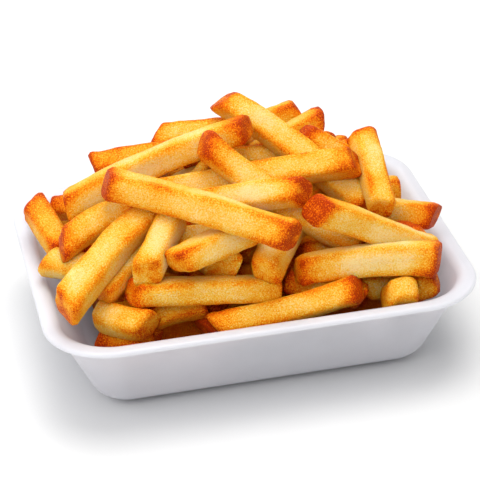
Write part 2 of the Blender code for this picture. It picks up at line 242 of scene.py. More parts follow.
# How the heap settles. Fries end SNUG times their two half-thicknesses apart. The
# spots are shares of a fry's length.
SNUG = 0.9
SETTLE_PASSES = 220
LOOSE_EASE = 5.0
SIDE_SHARE = 0.3
PULL_HOME_IN_SIGHT = 0.03
PULL_HOME_SIDEWAYS = 0.1
SINK_PER_PASS = 0.15
CORNER_ROOM = 1.2
FLOOR_ROOM = 3.0
ROOF_ROOM = 1.0
LEAST_INNER_CORNER = 1.0
CORE_REST = 0.6
CORE_PUSH = 0.3
CORE_PUSH_LIMIT = 3.0
CORE_SPOTS = (0.1, 0.5, 0.9)
WALL_SPOTS = (0.0, 0.25, 0.5, 0.75, 1.0)

# TINY keeps a division from meeting 0, and lines with less spread than the second value
# run side by side.
TINY = 1e-9
NEARLY_PARALLEL = 1e-6
print("the mound rises from", MOUND_EDGE, "to", MOUND_EDGE + MOUND_RISE, "mm")

# %% The fries that the photo shows
# The direction in which the shown fries turn a flat side, towards the photo's camera.
FACING = np.array((-0.18, -0.84, 0.51))

# Each fry has its ends A and B and its thickness in mm, then how far it is rolled from
# FACING in degrees, and how far its middle bows up, or down if below 0, in mm.
SHOWN_FRIES = {
    "crossing_front_top": ((-54, 0, 77), (12, -48, 69), 12.5, -18, 1.5),
    "long_left_ridge": ((-70, 15, 61), (8, 8, 91), 12.5, -20, 1.5),
    "bent_from_peak": ((-14, 0, 91), (45, -36, 52), 12.0, 15, -2.5),
    "behind_bent_one": ((50, -4, 75), (-36, -6, 74), 12.5, -15, 1.5),
    "short_top_middle": ((23, -29, 79), (-24, -19, 74), 12.0, -16, 1.0),
    "peak": ((2, 33, 93), (53, -15, 60), 12.5, 20, 1.5),
    "steep_right": ((58, 19, 76), (55, -25, 62), 12.0, 25, 1.5),
    "peak_right_front": ((46, 36, 76), (12, 17, 73), 11.0, 20, 0.0),
    "peak_right_back": ((38, 42, 79), (-4, 26, 76), 11.0, 20, 0.0),
    "right_of_peak": ((30, 12, 83), (58, 4, 65), 11.0, 15, 0.0),
    "behind_steep_right": ((57, 34, 65), (26, 19, 63), 10.5, 20, 0.0),
    "back_left_tip": ((-55, 40, 66), (-20, 18, 78), 12.0, 20, 0.0),
    "left_of_peak": ((-29, 35, 76), (8, 28, 80), 12.0, 25, 0.0),
    "left_of_peak_back": ((-18, 42, 72), (0, 36, 76), 10.5, 25, 0.0),
    "left_end": ((-82, 31, 56), (-75, -2, 51), 11.5, 25, 1.0),
    "left_low": ((-76, -9, 56), (-44, -5, 69), 12.0, 15, 1.0),
    "front_left_long": ((-82, -48, 50), (-39, -16, 71), 13.5, 22, 1.0),
    "far_left_end": ((-84, -3, 49), (-52, -26, 44), 12.0, 20, 1.0),
    "upright_front_left": ((-46, -44, 59), (-29, -18, 71), 12.5, 20, 0.0),
    "middle_front_short": ((-36, -43, 63), (0, -30, 66), 13.0, -20, 0.0),
    "pale_peaked_end": ((-14, -36, 54), (-19, -12, 38), 12.0, 30, 0.0),
    "square_end": ((-1, -52, 56), (21, -22, 65), 13.0, 30, 0.0),
    "front_long": ((-53, -40, 50), (7, -41, 41), 12.0, -15, 0.5),
    "front_left_under": ((-57, -30, 43), (-40, -10, 45), 12.0, 15, 0.0),
    "front_bowed": ((39, -55, 44), (-22, -56, 37), 12.5, -15, -1.5),
    "right_front_long": ((15, -39, 48), (74, -46, 49), 12.5, -15, 1.5),
    "front_left_corner": ((-67, -39, 42), (-46, -51, 39), 13.5, 20, 0.0),
    "front_low_left": ((-47, -46, 36), (-23, -45, 34), 11.5, 15, 0.0),
    "right_slope_long": ((22, -40, 77), (74, -34, 45), 12.0, -15, 1.0),
    "right_end_high": ((83, -18, 52), (44, -10, 60), 13.0, 15, 0.0),
    "far_right_tip": ((74, 7, 55), (44, 8, 59), 10.5, 20, 0.0),
    "behind_right_tip": ((62, 17, 62), (50, -14, 50), 10.5, 20, 0.0),
    "pointed_right": ((64, -29, 56), (79, -33, 42), 11.5, 20, 0.0),
    "right_end_low": ((74, -43, 39), (44, -46, 37), 12.0, 20, 0.0),
    "right_front_corner": ((74, -50, 42), (56, -49, 38), 12.0, 20, 0.0),
    "under_right_front": ((34, -40, 36), (70, -36, 36), 11.0, 20, 0.0),
    "arched_front_right": ((48, -54, 37), (62, -54, 36), 11.5, 20, 2.0),
    "under_bowed_one": ((42, -49, 36), (13, -34, 30), 11.0, 20, 0.0),
    "in_the_top_gap": ((-10, 8, 80), (32, 10, 74), 11.5, 15, 0.0),
    "left_back_tip": ((-75, 32, 53), (-44, 8, 63), 11.5, 20, 0.0),
    "under_left_ridge": ((-62, 12, 58), (-34, -14, 64), 11.0, 20, 0.0),
    "under_crossing_one": ((-36, -26, 62), (6, -28, 64), 11.5, 20, 0.0),
    "front_gap_low": ((-6, -24, 48), (8, -9, 46), 11.5, 20, 0.0),
    "right_gap_low": ((19, -30, 47), (42, -25, 44), 11.5, 20, 0.0),
    "left_gap_low": ((-64, -34, 45), (-40, -14, 56), 11.5, 20, 0.0),
    "lowest_front_left": ((-67, -44, 33), (-48, -49, 32), 11.0, 20, 0.0),
}
print(len(SHOWN_FRIES), "fries in the table")

# %% The tray's inner wall and the mound


def reach_inside(z):
    """How far in from the rim's outline the inner wall is, at a height in mm."""
    level = np.clip(z, 0.0, TRAY_HEIGHT)
    return FOOT_INSET - WALL_SLOPE * level + WALL * math.hypot(1.0, WALL_SLOPE) + CLEARANCE


def mound(x, y):
    """Height of the middles of the outermost loose fries over the tray."""
    off_x = np.abs(x) / MOUND_REACH[0]
    off_y = np.abs(y - MOUND_BACK) / MOUND_REACH[1]
    along = np.clip(1.0 - off_x ** MOUND_POWER[0], 0.0, 1.0)
    across = np.clip(1.0 - off_y ** MOUND_POWER[1], 0.0, 1.0)
    return MOUND_EDGE + MOUND_RISE * along * across


def core_height(x, y):
    return mound(x, y) - CORE_DEPTH


print("the mound's top:", mound(0.0, MOUND_BACK), "mm")

# %% The loose fries


def loose_fries():
    """Fries for the hidden back and sides, round the mound from one end to the other."""
    draw = random.Random(SEED)
    laid = []
    for number in range(LOOSE_FRIES):
        turn = math.pi * (number * GOLDEN_STEP % 1.0)
        out = LOOSE_OUT[number % len(LOOSE_OUT)]
        x = LOOSE_SPREAD[0] * out * math.cos(turn)
        y = LOOSE_SPREAD[1] * out * math.sin(turn)
        heading = turn + math.pi / 2 + draw.uniform(-LOOSE_SWING, LOOSE_SWING)
        length = draw.uniform(*LOOSE_LENGTH)
        thickness = draw.uniform(*LOOSE_THICKNESS)
        dx = math.cos(heading) * length / 2
        dy = math.sin(heading) * length / 2
        ends = []
        for side in (-1, 1):
            px = min(max(x + side * dx, -LOOSE_REACH[0]), LOOSE_REACH[0])
            py = min(max(y + side * dy, LOOSE_FRONT), LOOSE_REACH[1])
            ends.append((px, py, mound(px, py) - LOOSE_LAYERS[number % 2]))
        roll = draw.uniform(-LOOSE_ROLL, LOOSE_ROLL)
        laid.append((ends[0], ends[1], thickness, roll, 0.0))
    return laid


print(len(loose_fries()), "loose fries")

# %% How two fries pass, and what the tray allows


def nearest_along(a1, b1, a2, b2):
    """Where two sets of middle lines pass closest, as a share of each line."""
    d1 = b1 - a1
    d2 = b2 - a2
    gap = a1 - a2
    one = (d1 * d1).sum(-1)
    two = (d2 * d2).sum(-1)
    both = (d1 * d2).sum(-1)
    first = (d1 * gap).sum(-1)
    second = (d2 * gap).sum(-1)
    spread = one * two - both * both
    apart = np.maximum(spread, NEARLY_PARALLEL)
    crossing = np.clip((both * second - first * two) / apart, 0.0, 1.0)
    on_first = np.where(spread > NEARLY_PARALLEL, crossing, 0.5)
    on_second = np.clip((both * on_first + second) / two, 0.0, 1.0)
    on_first = np.clip((both * on_second - first) / one, 0.0, 1.0)
    return on_first, on_second


def keep_inside(end, half):
    """Moves what would cross the tray in from its wall, or up onto its lip if nearer.
    Nothing reaches out past the rim."""
    round_it = half * CORNER_ROOM
    for side, size in ((0, TRAY_LENGTH), (1, TRAY_WIDTH)):
        limit = size / 2 - round_it
        end[:, side] = np.clip(end[:, side], -limit, limit)
    reach = reach_inside(end[:, 2]) + round_it * math.hypot(1.0, WALL_SLOPE)
    side_x = TRAY_LENGTH / 2 - reach
    side_y = TRAY_WIDTH / 2 - reach
    corner = np.maximum(RIM_CORNER - reach, LEAST_INNER_CORNER)
    past_x = np.abs(end[:, 0]) - (side_x - corner)
    past_y = np.abs(end[:, 1]) - (side_y - corner)
    past = np.hypot(np.maximum(past_x, 0.0), np.maximum(past_y, 0.0))
    over = np.maximum(past - corner, 0.0)
    lift = TRAY_HEIGHT + round_it + CLEARANCE - end[:, 2]
    onto_lip = (over > 0.0) & (lift > 0.0) & (lift < over)
    inwards = (over > 0.0) & (lift > 0.0) & ~onto_lip
    end[:, 2] += np.where(onto_lip, lift, 0.0)
    pull = np.where(inwards, 1.0 - over / np.maximum(past, TINY), 1.0)
    in_x = side_x - corner + past_x * pull
    in_y = side_y - corner + past_y * pull
    in_x = np.where(past_x > 0.0, in_x, np.abs(end[:, 0]))
    in_y = np.where(past_y > 0.0, in_y, np.abs(end[:, 1]))
    end[:, 0] = np.where(inwards, np.copysign(in_x, end[:, 0]), end[:, 0])
    end[:, 1] = np.where(inwards, np.copysign(in_y, end[:, 1]), end[:, 1])
    end[:, 2] = np.maximum(end[:, 2], WALL + round_it + FLOOR_ROOM)


far_end = np.array([[TRAY_LENGTH, 0.0, TRAY_HEIGHT / 2]])
keep_inside(far_end, np.array([LOOSE_THICKNESS[0] / 2]))
print("an end far outside the tray moves to", far_end[0].round(1))

# %% How fries push each other, the core and the tray


def pushes_apart(a, b, half, ease, pairs):
    """How far each end A and each end B moves, so that crossing fries come to touch."""
    i, j = pairs
    on_i, on_j = nearest_along(a[i], b[i], a[j], b[j])
    gap = a[i] + (b[i] - a[i]) * on_i[:, None] - (a[j] + (b[j] - a[j]) * on_j[:, None])
    apart = np.linalg.norm(gap, axis=1) + TINY
    need = (half[i] + half[j]) * SNUG
    near = apart < need
    push = gap[near] * ((need - apart) * 0.5 / apart)[near][:, None]
    share_i = (ease[i] / (ease[i] + ease[j]))[near]
    moves = (np.zeros_like(a), np.zeros_like(b))
    sides = ((i[near], on_i[near], share_i), (j[near], on_j[near], share_i - 1.0))
    for which, share, part in sides:
        weight = share**2 + (1 - share) ** 2
        np.add.at(moves[0], which, push * (part * (1 - share) / weight)[:, None])
        np.add.at(moves[1], which, push * (part * share / weight)[:, None])
    return moves


def along_sight(move):
    """The part of a move that runs towards the photo's camera or away from it."""
    sight = FACING / np.linalg.norm(FACING)
    return (move @ sight)[:, None] * sight


def lift_off_core(a, b, half):
    """Raises fries that have sunk into the core."""
    for share in CORE_SPOTS:
        spot = a * (1 - share) + b * share
        rest = core_height(spot[:, 0], spot[:, 1]) + half * CORE_REST
        under = np.clip(rest - spot[:, 2], 0.0, CORE_PUSH_LIMIT)
        lift = under * CORE_PUSH / (share**2 + (1 - share) ** 2)
        a[:, 2] += lift * (1 - share)
        b[:, 2] += lift * share


def move_inside(a, b, half, bow):
    """Moves each fry whole until it is inside the tray along its bowed length."""
    for share in WALL_SPOTS:
        spot = a * (1 - share) + b * share
        spot[:, 2] += bow * (1 - (2 * share - 1) ** 2)
        kept = spot.copy()
        keep_inside(kept, half)
        a += kept - spot
        b += kept - spot


# %% Let the heap settle


def settle(fries, shown_count):
    """Pushes crossing fries apart until they touch. The shown ones keep their outlines,
    as they move mainly towards the photo's camera or away from it."""
    a = np.array([fry[0] for fry in fries], float)
    b = np.array([fry[1] for fry in fries], float)
    half = np.array([fry[2] for fry in fries]) / 2
    bow = np.array([fry[4] for fry in fries])
    shown = np.arange(len(fries)) < shown_count
    ease = np.where(shown, 1.0, LOOSE_EASE)
    home = (a.copy(), b.copy())
    length = np.linalg.norm(b - a, axis=1)
    pairs = np.triu_indices(len(fries), 1)
    for _ in range(SETTLE_PASSES):
        moves = pushes_apart(a, b, half, ease, pairs)
        for end, move, start in zip((a, b), moves, home):
            along = along_sight(move)
            move[shown] = (along + (move - along) * SIDE_SHARE)[shown]
            back = start - end
            back_along = along_sight(back)
            pull = back_along * PULL_HOME_IN_SIGHT + (back - back_along) * PULL_HOME_SIDEWAYS
            move[shown] += pull[shown]
            move[~shown, 2] -= SINK_PER_PASS
            end += move
        lift_off_core(a, b, half)
        for end in (a, b):
            keep_inside(end, half)
            roof = np.where(shown, np.inf, mound(end[:, 0], end[:, 1]) + ROOF_ROOM)
            end[:, 2] = np.minimum(end[:, 2], roof)
            end[~shown, 0] = np.clip(end[~shown, 0], -LOOSE_REACH[0], LOOSE_REACH[0])
            end[~shown, 1] = np.minimum(end[~shown, 1], LOOSE_REACH[1])
        middle = (a + b) / 2
        line = b - a
        stretch = length / np.linalg.norm(line, axis=1)
        a = middle - line * stretch[:, None] / 2
        b = middle + line * stretch[:, None] / 2
    move_inside(a, b, half, bow)
    return np.round(a, 1), np.round(b, 1)


fries = list(SHOWN_FRIES.values()) + loose_fries()
ends_a, ends_b = settle(fries, len(SHOWN_FRIES))
lengths = np.linalg.norm(ends_b - ends_a, axis=1)
print(len(fries), "fries,", round(lengths.min(), 1), "to", round(lengths.max(), 1), "mm long")

# %% [markdown]
# ## Fries deeper in the heap
#
# The solid has a plain core where the hidden fries would be. A gap between the fries
# on top would show it as a smooth brown lump, so a last layer of real fries lies half
# sunk in the core. They need no settling, since only a strip of any of them shows.

# %% Lay deeper fries on the core
DEEP_FRIES = 24
DEEP_SINK = (2.5, 6.5)
DEEP_REACH = (64.0, 45.0)
DEEP_LENGTH = (38.0, 54.0)
DEEP_THICKNESS = (10.5, 12.0)


def deeper_fries():
    """Fries half sunk in the core, which show only through the gaps over them."""
    draw = random.Random(SEED)
    laid = []
    for number in range(DEEP_FRIES):
        out = math.sqrt((number + 0.5) / DEEP_FRIES)
        turn = 2 * math.pi * number * GOLDEN_STEP
        heading = turn + math.pi / 2 + draw.uniform(-LOOSE_SWING, LOOSE_SWING)
        length = draw.uniform(*DEEP_LENGTH)
        sink = DEEP_SINK[number % 2]
        ends = []
        for side in (-0.5, 0.5):
            x = DEEP_REACH[0] * out * math.cos(turn) + side * length * math.cos(heading)
            y = DEEP_REACH[1] * out * math.sin(turn) + side * length * math.sin(heading)
            x = min(max(x, -DEEP_REACH[0]), DEEP_REACH[0])
            y = min(max(y, -DEEP_REACH[1]), DEEP_REACH[1])
            ends.append((x, y, core_height(x, y) - sink))
        roll = draw.uniform(-LOOSE_ROLL, LOOSE_ROLL)
        laid.append((ends[0], ends[1], draw.uniform(*DEEP_THICKNESS), roll, 0.0))
    return laid


deep = deeper_fries()
fries += deep
ends_a = np.vstack([ends_a, [fry[0] for fry in deep]])
ends_b = np.vstack([ends_b, [fry[1] for fry in deep]])
fry_names = list(SHOWN_FRIES) + ["unnamed"] * (LOOSE_FRIES + DEEP_FRIES)
print(len(fries), "fries in all,", DEEP_FRIES, "of them deep in the heap")

# %% [markdown]
# ## One fry
#
# A thick-cut fry is a bar of potato with a square section. Frying dries its edges
# first, so they stand up a little and brown, while each side sinks between them. The
# cut ends go darkest. A bevelled cube with a Displace modifier could pass for a fry, but
# its ends and edges would all be alike. So a cube is cut into a fine grid here, and its
# points are rounded, sunk, bent and roughened by named amounts, with seeded chance. How
# toasted each point is goes along as an attribute, which the crust's material reads.

# %% Cut a cube into a gridded bar
STEP_ALONG = 1.4
CUTS_ACROSS = 8
SLACK = 0.01
TRIAL_LENGTH = 75.0
TRIAL_THICKNESS = 12.0


def gridded_bar(length):
    """A unit-wide bar, cut into a grid all over, with its length along X in mm."""
    edit = bmesh.new()
    bmesh.ops.create_cube(edit, size=1.0)
    bmesh.ops.scale(edit, vec=(length, 1.0, 1.0), verts=edit.verts)
    long_edges = [edge for edge in edit.edges if edge.calc_length() > length - SLACK]
    cuts = int(length / STEP_ALONG)
    bmesh.ops.subdivide_edges(edit, edges=long_edges, cuts=cuts, use_grid_fill=True)
    across = [edge for edge in edit.edges if edge.calc_length() > 1.0 - SLACK
              and abs(edge.verts[0].co.x - edge.verts[1].co.x) < SLACK]
    bmesh.ops.subdivide_edges(edit, edges=across, cuts=CUTS_ACROSS, use_grid_fill=True)
    return edit


trial = gridded_bar(TRIAL_LENGTH)
trial_points = np.array([vert.co[:] for vert in trial.verts])
print("a long fry has", len(trial.faces) * 2, "triangles")
trial.free()

# %% How the fries' ends and browning differ
END_SLANT = (0.1, 0.6)
END_BROWN = (0.7, 1.4)

# How each named fry's ends A and B look in the photo. The first two numbers cut the end
# askew: how far it runs on along the fry for each mm across it, and for each mm out of
# its flat side. The third says how brown it is. Other ends draw theirs.
PLAIN_END = (0.1, 0.2, 1.0)
FRY_ENDS = {
    "crossing_front_top": ((0.1, 0.55, 1.5), (0.1, -0.3, 1.3)),
    "long_left_ridge": ((0.2, 0.0, 0.8), (0.1, -0.45, 1.2)),
    "bent_from_peak": ((-0.3, 0.35, 1.1), (0.0, -0.5, 0.6)),
    "behind_bent_one": ((-0.15, 0.4, 1.4), (0.0, 0.2, 1.0)),
    "short_top_middle": ((0.15, 0.4, 1.4), (0.0, 0.2, 1.0)),
    "peak": ((0.2, 0.45, 1.2), (0.3, -0.2, 1.0)),
    "steep_right": ((-0.4, 0.3, 1.7), (0.2, 0.0, 0.3)),
    "peak_right_front": ((0.4, 0.3, 1.7), PLAIN_END),
    "peak_right_back": ((-0.3, 0.4, 1.5), PLAIN_END),
    "right_of_peak": ((0.2, 0.3, 1.7), PLAIN_END),
    "back_left_tip": ((-0.5, 0.4, 1.7), PLAIN_END),
    "left_of_peak": ((0.5, 0.4, 1.6), (0.2, 0.4, 1.4)),
    "left_end": ((-0.6, 0.2, 1.4), PLAIN_END),
    "left_low": ((0.4, 0.3, 1.0), PLAIN_END),
    "left_back_tip": ((0.2, 0.3, 1.5), PLAIN_END),
    "front_left_long": ((0.35, 0.1, 1.1), PLAIN_END),
    "far_left_end": ((0.2, 0.2, 0.7), PLAIN_END),
    "upright_front_left": ((-0.45, 0.3, 0.5), PLAIN_END),
    "middle_front_short": ((-0.35, 0.3, 0.8), PLAIN_END),
    "pale_peaked_end": ((0.5, 0.75, 0.2), PLAIN_END),
    "square_end": ((0.1, -0.1, 0.6), PLAIN_END),
    "front_long": ((0.15, 0.3, 0.7), PLAIN_END),
    "front_bowed": ((0.2, 0.45, 1.3), (-0.5, 0.2, 0.6)),
    "right_front_long": ((0.1, 0.3, 0.8), (0.15, -0.4, 1.6)),
    "front_left_corner": ((0.0, 0.0, 0.0), (0.35, 0.0, 0.7)),
    "arched_front_right": ((0.1, 0.2, 0.3), (0.1, 0.2, 0.3)),
    "right_slope_long": ((0.1, 0.4, 1.5), (0.2, -0.3, 0.6)),
    "right_end_high": ((0.2, 0.35, 1.3), PLAIN_END),
    "pointed_right": ((0.8, 0.3, 1.8), PLAIN_END),
}

# Fries that fried longer than the rest, and how much more toasted they are all over.
WELL_DONE = {
    "left_of_peak": 0.16,
    "back_left_tip": 0.16,
    "left_back_tip": 0.22,
    "left_end": 0.08,
    "peak_right_front": 0.12,
    "peak_right_back": 0.14,
    "right_of_peak": 0.16,
    "pointed_right": 0.12,
    "front_bowed": 0.05,
}


def drawn_end(draw):
    """One end for a fry that has no place in FRY_ENDS."""
    slant = draw.uniform(*END_SLANT)
    heading = draw.uniform(-math.pi, math.pi)
    return slant * math.cos(heading), slant * math.sin(heading), draw.uniform(*END_BROWN)


print("named ends:", len(FRY_ENDS) * 2, "and well done fries:", len(WELL_DONE))

# %% A fry's axes, and noise for its skin
NOISE_STRIDES = (17.3, 5.1, 9.7)


def fry_frame(a, b, turn):
    """The fry's own axes: along it, across it, and up out of its flat side."""
    axis = (b - a) / np.linalg.norm(b - a)
    face = FACING - axis * (FACING @ axis)
    face /= np.linalg.norm(face)
    side = np.cross(face, axis)
    angle = math.radians(turn)
    up = face * math.cos(angle) + side * math.sin(angle)
    return axis, np.cross(up, axis), up


def rough(points, kind, seed):
    """Smooth seeded noise at points in mm, from about -1 to 1."""
    size, change = kind
    shift = Vector([(seed + change) * stride for stride in NOISE_STRIDES])
    return np.array([noise.noise(Vector(point) / size + shift) for point in points])


def smooth_step(low, high, value):
    """Rises from 0 at low to 1 at high, flat at both."""
    share = np.clip((value - low) / (high - low), 0.0, 1.0)
    return share * share * (3 - 2 * share)


print("halfway up a smooth step:", smooth_step(0.0, 1.0, 0.5))

# %% Round, sink, taper and twist a bar's section
# ROUNDNESS is the power of the section's curve: 2 gives a circle, and more a squarer one.
# UNEVEN and END_SHRINK are shares, TWIST is in degrees, and the rest are in mm. Sides
# sink fully from some way in from the ends, and less on short fries.
ROUNDNESS = (2.7, 3.7)
UNEVEN = 0.09
TWIST = 9.0
SIDE_SINK = (0.0, 0.8)
SINK_FULL_FROM_END = 9.0
SINK_FULL_LENGTH = 50.0
END_ROUND = 2.6
END_SHRINK = 0.17


def grid_places(flat, length):
    """Where a bar's points are: along it, in from its nearer end, out from its middle line
    from 0 to 1, round that line in radians, and by a corner's edge from 0 to 1."""
    along = flat[:, 0]
    square = flat[:, 1:] * 2
    reach = np.abs(square).max(axis=1) + TINY
    angle = np.arctan2(square[:, 1], square[:, 0])
    cosine, sine = np.abs(np.cos(angle)), np.abs(np.sin(angle))
    corner = np.minimum(cosine, sine) / np.maximum(cosine, sine)
    return along, length / 2 - np.abs(along), reach, angle, corner


def shape_section(places, length, half, draw):
    """The points' places across the fry, and the twist at each."""
    along, from_end, reach, angle, corner = places
    cosine, sine = np.abs(np.cos(angle)), np.abs(np.sin(angle))
    power = draw.uniform(*ROUNDNESS)
    round_reach = (cosine**power + sine**power) ** (-1 / power)
    near_end = np.clip(1 - from_end / END_ROUND, 0.0, 1.0)
    shrink = 1 - END_SHRINK * near_end**2
    side = np.round(angle / (math.pi / 2)).astype(int) % 4
    sinks = np.array([draw.uniform(*SIDE_SINK) for _ in range(4)])[side]
    sinks *= min(length / SINK_FULL_LENGTH, 1.0) ** 2
    sunk = 1 - sinks / half * (1 - corner**2) * smooth_step(0.0, SINK_FULL_FROM_END, from_end)
    taper = 1 + draw.uniform(-UNEVEN, UNEVEN) * along / length * 2
    radius = half * reach * round_reach * shrink * sunk * taper
    wide = 1 + draw.uniform(-UNEVEN, UNEVEN)
    y = radius * np.cos(angle) * wide
    z = radius * np.sin(angle) / wide
    twist = math.radians(draw.uniform(-TWIST, TWIST)) * along / length * 2
    y, z = y * np.cos(twist) - z * np.sin(twist), y * np.sin(twist) + z * np.cos(twist)
    return y, z, twist


trial_places = grid_places(trial_points, TRIAL_LENGTH)
trial_y, _, _ = shape_section(trial_places, TRIAL_LENGTH, TRIAL_THICKNESS / 2, random.Random(0))
print("a trial fry is", round(np.ptp(trial_y), 1), "mm wide")

# %% Cut a fry's ends askew, roughen its skin and toast it
# LUMP, PUCKER and CURVE say in mm how far they move a point. LUMP_STRETCH draws the lumps
# out along the fry. At the ends END_PUCKER times the pucker is added to it.
END_ROOM = 1.6
ON_THE_END = 0.01
END_BULGE = (-0.6, 0.9)
LUMP = 0.7
LUMP_STRETCH = 2.2
PUCKER = 0.22
END_PUCKER = 2.2
END_PUCKER_FADE = 4.0
CURVE = 1.1

# The noises on a fry: the size of their features in mm, and what tells them apart.
LUMPS = (8.0, 0.0)
PUCKERS = (3.0, 0.37)
BLOTCHES = (5.5, 0.71)
PATCHES = (15.0, 0.53)

# How toasted a fry is. A zone of it toasts by an even amount, by its blotches and by its
# patches. The fades are in mm from an end.
EVEN_TOAST = (0.02, 0.14)
PATCH_TOAST = 0.12
BLOTCH_TOAST = 0.03
EDGE_TOAST = (0.22, 0.1, 0.16)
END_TOAST = (0.28, 0.16, 0.2)
TIP_TOAST = (0.42, 0.35, 0.0)
EDGE_STARTS = 0.3
END_FADE = (5.0, 10.0)
TIP_FADE = 2.5


def cut_ends(places, y, z, length, half, fry_ends, draw):
    """The points' places along the fry, with each end askew, and how its end browns."""
    along, from_end, reach, _, _ = places
    hold = np.exp(-from_end / half)
    lean = np.zeros_like(y)
    brown = np.zeros_like(y)
    for way, (cut_across, cut_out, browning) in zip((-1, 1), fry_ends):
        cut = cut_across * y + cut_out * z
        lean += np.where(along * way > 0, cut, 0.0)
        brown += np.where(along * way > 0, browning, 0.0)
    bulge = (1 - reach**2) * (from_end < ON_THE_END) * draw.uniform(*END_BULGE)
    x = along * (1 - END_ROOM / length) + lean * hold + np.sign(along) * bulge
    return x, brown


def roughened(spots, places, twist, length, seed, draw):
    """The points with lumps and puckers on the skin, and with the whole fry curved."""
    along, from_end, reach, angle, _ = places
    drawn_out = spots / np.array((LUMP_STRETCH, 1.0, 1.0))
    lump = rough(drawn_out, LUMPS, seed) * LUMP
    crumple = 1 + END_PUCKER * np.exp(-np.maximum(from_end, 0.0) / END_PUCKER_FADE)
    pucker = rough(spots, PUCKERS, seed) * PUCKER * crumple
    round_it = angle + twist
    outward = np.stack([np.zeros_like(along), np.cos(round_it), np.sin(round_it)], axis=1)
    moved = spots + outward * ((lump + pucker) * np.minimum(reach, 1.0))[:, None]
    moved[:, 1] += draw.uniform(-CURVE, CURVE) * (1 - (2 * along / length) ** 2)
    return moved


def toasting(spots, places, brown, name, seed, draw):
    """How toasted each point is, from 0 to 1: edges more than sides, and ends the most."""
    _, from_end, reach, _, corner = places
    blotch = rough(spots, BLOTCHES, seed)
    patch = rough(spots, PATCHES, seed)

    def zone(even, by_blotch, by_patch):
        return even + by_blotch * blotch + by_patch * patch

    inwards = -np.maximum(from_end, 0.0)
    edge = smooth_step(EDGE_STARTS, 1.0, corner) * reach
    end = np.exp(inwards / draw.uniform(*END_FADE))
    tip = np.exp(inwards / TIP_FADE) * (0.5 + 0.5 * reach * corner)
    toast = draw.uniform(*EVEN_TOAST) + WELL_DONE.get(name, 0.0) + PATCH_TOAST * patch
    toast = toast + edge * zone(*EDGE_TOAST)
    toast = toast + brown * end * zone(*END_TOAST)
    toast = toast + brown * tip * zone(*TIP_TOAST)
    return np.clip(toast + BLOTCH_TOAST * blotch, 0.0, 1.0)


def shape_fry(flat, length, thickness, seed, name):
    """Turns the bar's points into a fry's, and says how toasted each one is."""
    draw = random.Random(seed)
    drawn = (drawn_end(draw), drawn_end(draw))
    half = thickness / 2
    places = grid_places(flat, length)
    y, z, twist = shape_section(places, length, half, draw)
    x, brown = cut_ends(places, y, z, length, half, FRY_ENDS.get(name, drawn), draw)
    spots = np.stack([x, y, z], axis=1)
    skin = roughened(spots, places, twist, length, seed, draw)
    return skin, toasting(spots, places, brown, name, seed, draw)


trial_skin, trial_toast = shape_fry(trial_points, TRIAL_LENGTH, TRIAL_THICKNESS, 0, "trial")
print("a trial fry:", np.ptp(trial_skin, axis=0).round(1), "mm")
print("its toasting:", trial_toast.min().round(2), "to", trial_toast.max().round(2))

# %% Add a fry to a pile
# Painted shade: crust under the mound is browner, fully so from BURIED_FULLY mm down.
BURIED_PAINTED_SHADE = 0.1
BURIED_FULLY = 18.0


def add_fry(pile, number):
    """Adds a settled fry to the pile, with toasting and painted shade at each point."""
    a, b = ends_a[number], ends_b[number]
    _, _, thickness, turn, bow = fries[number]
    length = float(np.linalg.norm(b - a))
    edit = gridded_bar(length)
    flat = np.array([vert.co[:] for vert in edit.verts])
    spots, toast = shape_fry(flat, length, thickness, number + 1, fry_names[number])
    axis, across, up = fry_frame(a, b, turn)
    lift = bow * (1 - np.minimum(np.abs(flat[:, 0]) * 2 / length, 1.0) ** 2)
    placed = (a + b) / 2 + spots[:, :1] * axis + spots[:, 1:2] * across + spots[:, 2:] * up
    placed[:, 2] += lift
    # Painted shade: the deeper a point lies under the mound, the browner its crust.
    buried = mound(placed[:, 0], placed[:, 1]) - placed[:, 2]
    toast = toast + BURIED_PAINTED_SHADE * np.clip(buried / BURIED_FULLY, 0.0, 1.0)
    layer = edit.verts.layers.float.new("toast")
    for vert, place, brown in zip(edit.verts, placed * MM, toast):
        vert.co = place
        vert[layer] = brown
    single = bpy.data.meshes.new("fry")
    edit.to_mesh(single)
    edit.free()
    pile.from_mesh(single)
    bpy.data.meshes.remove(single)


def pile_of(name, numbers, material):
    """Many fries as one piece, with their toasting as an attribute."""
    pile = bmesh.new()
    pile.verts.layers.float.new("toast")
    for number in numbers:
        add_fry(pile, number)
    piece = piece_from(pile, name, material)
    print(name, "has", len(piece.data.polygons) * 2, "triangles")
    return piece


trial_pile = bmesh.new()
trial_pile.verts.layers.float.new("toast")
add_fry(trial_pile, 0)
print("the first fry adds", len(trial_pile.verts), "points")
trial_pile.free()

# %% [markdown]
# ## The crust
#
# A fried crust is pale straw on the flats, golden towards the edges and red-brown at
# the ends. A picture of crust would need every fry unwrapped. Instead the toasting
# attribute drives a ramp of colours, and fine noise on Object coordinates breaks it into
# the grains that a starch crust has. The same noise as height makes the crust catch the
# light. The ramp's colours were picked.

# %% The crust's colours


def linear(hex_colour):
    """A screen colour as linear light, by the sRGB formula."""
    light = []
    for start in (1, 3, 5):
        value = int(hex_colour[start:start + 2], 16) / 255
        light.append(value / 12.92 if value <= 0.04045 else ((value + 0.055) / 1.055) ** 2.4)
    return tuple(light)


CRUST_STOPS = (
    (0.00, "#F8D894"),
    (0.15, "#F6C450"),
    (0.32, "#F4A81A"),
    (0.52, "#EC7E04"),
    (0.76, "#D85602"),
    (1.00, "#B03603"),
)
print("the least toasted crust:", [round(value, 3) for value in linear(CRUST_STOPS[0][1])])

